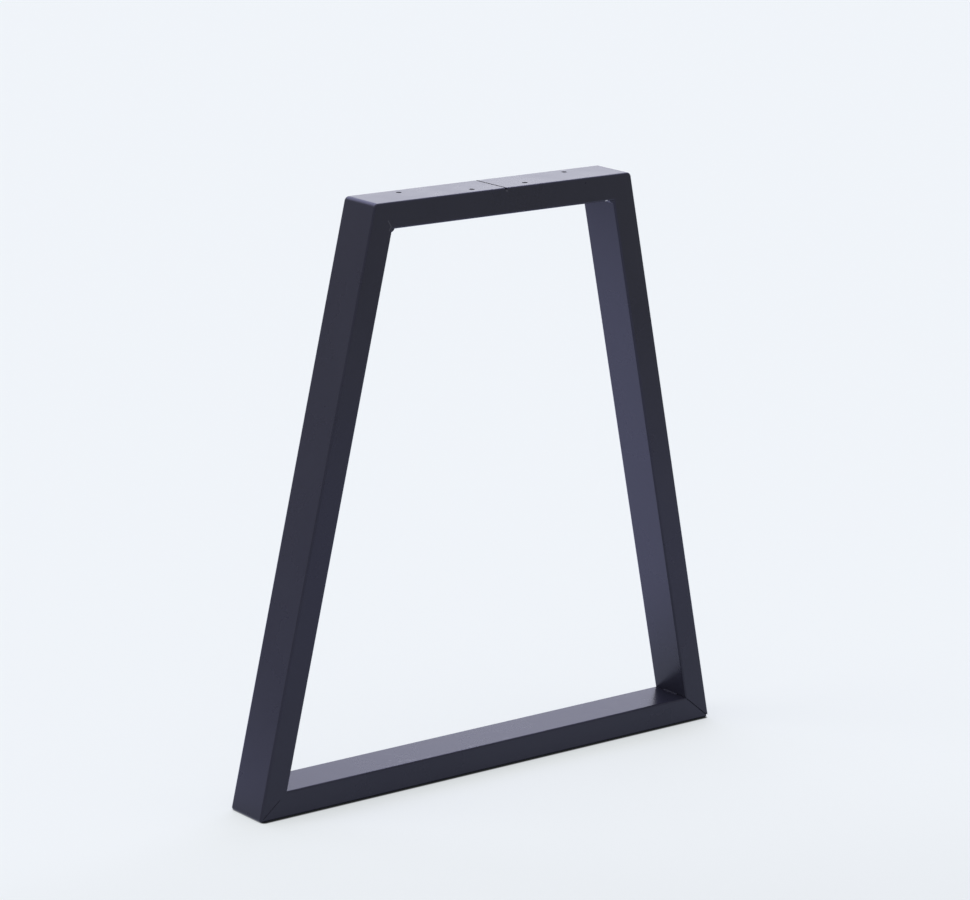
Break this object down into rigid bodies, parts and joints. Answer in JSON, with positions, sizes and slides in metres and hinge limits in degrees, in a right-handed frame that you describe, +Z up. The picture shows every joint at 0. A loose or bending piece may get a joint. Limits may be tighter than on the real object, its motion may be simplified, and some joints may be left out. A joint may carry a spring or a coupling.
{
  "type": "trestle table leg",
  "caption": "Trapezoid table leg frame of rectangular steel tube, wide at the floor and narrow under the top, notched, folded and welded at its corners, with screw holes up into a table top.",
  "frame": {"origin": "on the floor, under the middle of the frame", "axes": "+Z up, +X along the rails towards the right-hand leg, +Y through the tube's depth, away from the side that the picture shows in front"},
  "size_m": [0.6984, 0.06, 0.72],
  "materials": {
    "powder_coated_tube": "satin black powder coat",
    "powder_coated_weld": "satin black powder coat over a weld bead"
  },
  "bodies": {
    "root": {"folded_tube_frame": "powder_coated_tube", "weld_bead_bottom_left": "powder_coated_weld", "weld_bead_bottom_right": "powder_coated_weld", "weld_bead_top_right": "powder_coated_weld", "weld_bead_top_left": "powder_coated_weld"}
  },
  "joints": []
}
